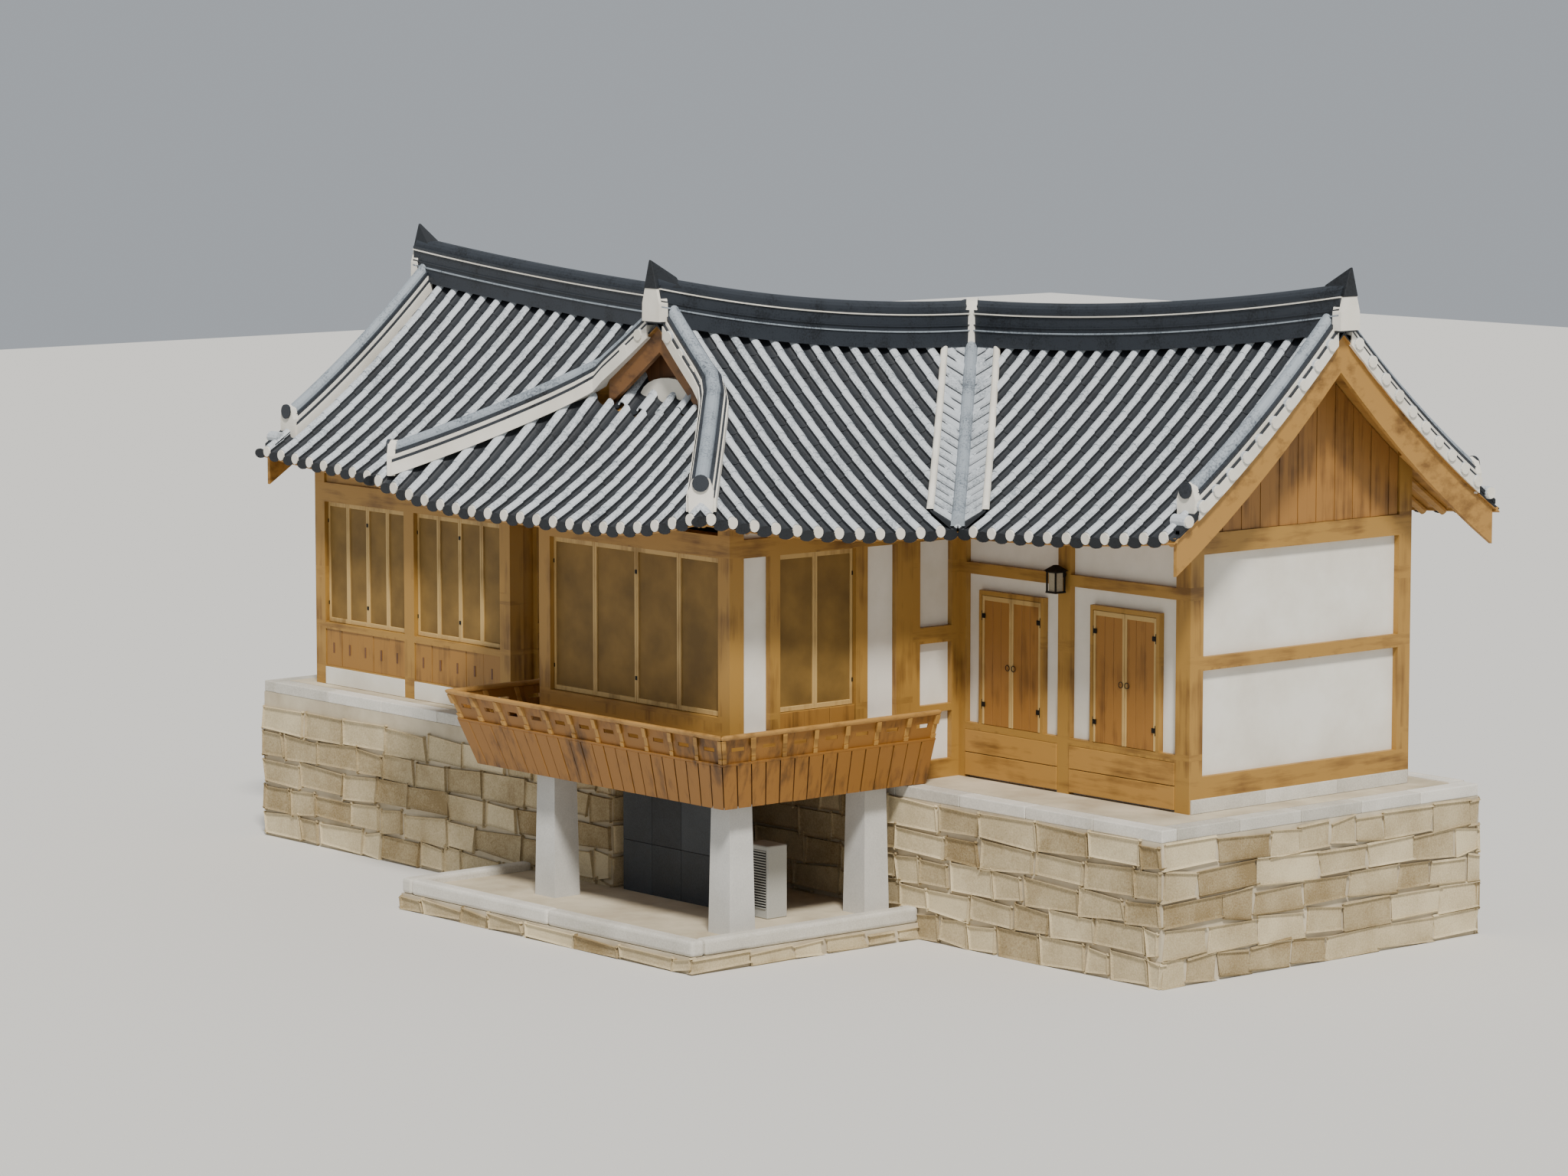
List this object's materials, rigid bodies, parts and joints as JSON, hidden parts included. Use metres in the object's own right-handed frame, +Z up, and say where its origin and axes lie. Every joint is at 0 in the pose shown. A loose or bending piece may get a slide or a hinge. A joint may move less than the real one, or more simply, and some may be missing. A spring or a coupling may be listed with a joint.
{
  "type": "hanok house",
  "caption": "Timber house of three tiled wings on stone podiums, with a raised pavilion on pillars and two pairs of swinging doors.",
  "frame": {"origin": "bottom centre of the bounding box, on the ground", "axes": "+X along the front to the right, +Y to the back, +Z up"},
  "size_m": [15.87, 9.65, 8.3],
  "materials": {
    "timber": "oiled pine",
    "pale_timber": "oiled pine",
    "dark_boards": "stained boards",
    "lime_plaster": "matt",
    "roof_tile": "matt fired clay",
    "dressed_granite": "dressed",
    "rubble_granite": "rough",
    "slate_cladding": "riven",
    "lantern_metal": "painted black",
    "unit_casing": "powder coated"
  },
  "bodies": {
    "house": {"balcony_apron": "timber", "balcony_rail": "timber", "bargeboards_east": "timber", "bargeboards_pavilion": "timber", "bargeboards_west": "timber", "frame_east": "timber", "frame_pavilion": "timber", "frame_west": "timber", "gable_east": "timber", "gable_pavilion": "dark_boards", "gable_west": "timber", "hip_ridge_back": "roof_tile", "hip_ridge_left": "roof_tile", "hip_ridge_right": "roof_tile", "kerb_east": "dressed_granite", "kerb_west": "dressed_granite", "lantern": "lantern_metal", "outdoor_unit": "unit_casing", "pavilion_floor": "timber", "pillar_1": "dressed_granite", "pillar_2": "dressed_granite", "pillar_3": "dressed_granite", "plaster_east_back": "lime_plaster", "plaster_east_front": "lime_plaster", "plaster_east_gable": "lime_plaster", "plaster_pavilion_recess": "lime_plaster", "plaster_pavilion_right": "lime_plaster", "plaster_west_back": "lime_plaster", "plaster_west_gable": "lime_plaster", "plaster_west_recess": "lime_plaster", "platform": "rubble_granite", "platform_kerb": "dressed_granite", "podium_east": "rubble_granite", "podium_west": "rubble_granite", "ridge_east": "roof_tile", "ridge_pavilion": "roof_tile", "ridge_west": "roof_tile", "roof_corner_back": "roof_tile", "roof_east_back": "roof_tile", "roof_east_front": "roof_tile", "roof_pavilion_left": "roof_tile", "roof_pavilion_right": "roof_tile", "roof_pavilion_skirt": "roof_tile", "roof_west_back": "roof_tile", "roof_west_front": "roof_tile", "room_floor": "timber", "screen": "slate_cladding", "verge_ridge_east": "roof_tile", "verge_ridge_west": "roof_tile", "window_east_back": "pale_timber", "window_pavilion_left": "pale_timber", "window_pavilion_right": "pale_timber", "windows_bay_1": "pale_timber", "windows_bay_2": "pale_timber", "windows_pavilion_front": "pale_timber"},
    "door_1_left": {"door_1_left": "pale_timber"},
    "door_1_right": {"door_1_right": "pale_timber"},
    "door_2_left": {"door_2_left": "pale_timber"},
    "door_2_right": {"door_2_right": "pale_timber"}
  },
  "joints": [
    {"name": "door_1_left_hinge", "type": "hinge", "parent": "house", "child": "door_1_left", "pos_m": [3.641, 0.125, 3.36], "axis": [0, 0, -1], "range_deg": [0, 95]},
    {"name": "door_1_right_hinge", "type": "hinge", "parent": "house", "child": "door_1_right", "pos_m": [4.679, 0.125, 3.36], "axis": [0, 0, 1], "range_deg": [0, 95]},
    {"name": "door_2_left_hinge", "type": "hinge", "parent": "house", "child": "door_2_left", "pos_m": [5.611, 0.125, 3.36], "axis": [0, 0, -1], "range_deg": [0, 95]},
    {"name": "door_2_right_hinge", "type": "hinge", "parent": "house", "child": "door_2_right", "pos_m": [6.679, 0.125, 3.36], "axis": [0, 0, 1], "range_deg": [0, 95]}
  ]
}
